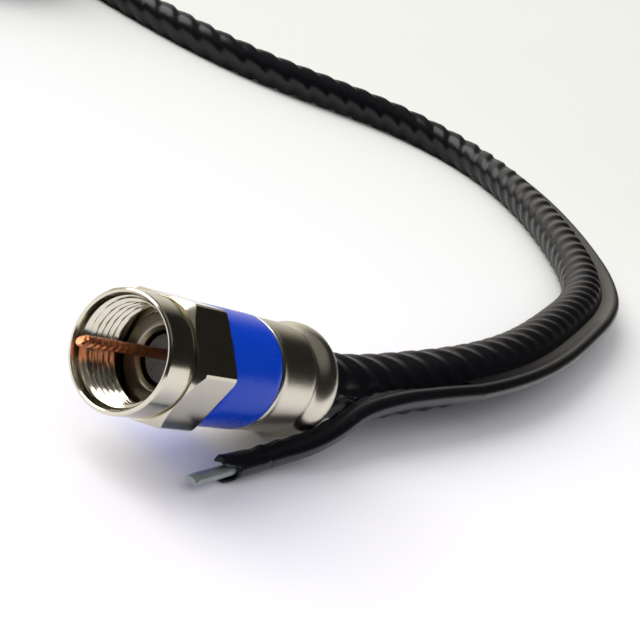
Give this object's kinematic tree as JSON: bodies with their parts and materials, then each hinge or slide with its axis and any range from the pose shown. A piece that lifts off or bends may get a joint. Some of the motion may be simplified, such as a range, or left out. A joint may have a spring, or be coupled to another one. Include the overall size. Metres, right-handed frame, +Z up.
{
  "type": "coaxial cable lead with compression plugs",
  "caption": "Coaxial lead with a ground wire moulded beside it, a compression plug with a turning hexagon nut on each end, the spare length in a tied coil.",
  "frame": {"origin": "middle of the whole lead's box, on the surface it lies on", "axes": "+Z up, the near plug points along -X with its nose a little raised, and the coil lies towards +Y"},
  "size_m": [0.2156, 0.289, 0.0266],
  "materials": {
    "jacket": "ridged semi-gloss",
    "tie": "satin",
    "nickel": "bright nickel plate",
    "tin": "satin tin plate",
    "band": "glossy",
    "foam": "cut foam plastic",
    "copper": "copper-clad steel",
    "steel": "dull drawn steel"
  },
  "bodies": {
    "cable": {"cable_coil": "jacket", "coil_tie": "tie", "cable_lead": "jacket", "cable_tail": "jacket", "plug_a_post": "tin", "plug_a_body": "nickel", "plug_a_colour_band": "band", "plug_a_sleeve": "nickel", "plug_a_insulator": "foam", "plug_a_centre_conductor": "copper", "plug_a_coax_leg": "jacket", "plug_a_ground_leg": "jacket", "plug_a_ground_wire": "steel", "plug_b_post": "tin", "plug_b_body": "nickel", "plug_b_colour_band": "band", "plug_b_sleeve": "nickel", "plug_b_insulator": "foam", "plug_b_centre_conductor": "copper", "plug_b_coax_leg": "jacket", "plug_b_ground_leg": "jacket", "plug_b_ground_wire": "steel"},
    "near_nut": {"plug_a_coupling_nut": "nickel"},
    "far_nut": {"plug_b_coupling_nut": "nickel"}
  },
  "joints": [
    {"name": "near_nut_turn", "type": "hinge", "parent": "cable", "child": "near_nut", "pos_m": [-0.09626, -0.13662, 0.00907], "axis": [-0.988, 0, 0.1547], "continuous": true},
    {"name": "far_nut_turn", "type": "hinge", "parent": "cable", "child": "far_nut", "pos_m": [0.03159, 0.11636, 0.02073], "axis": [-0.3389, 0.9408, 0], "continuous": true}
  ]
}
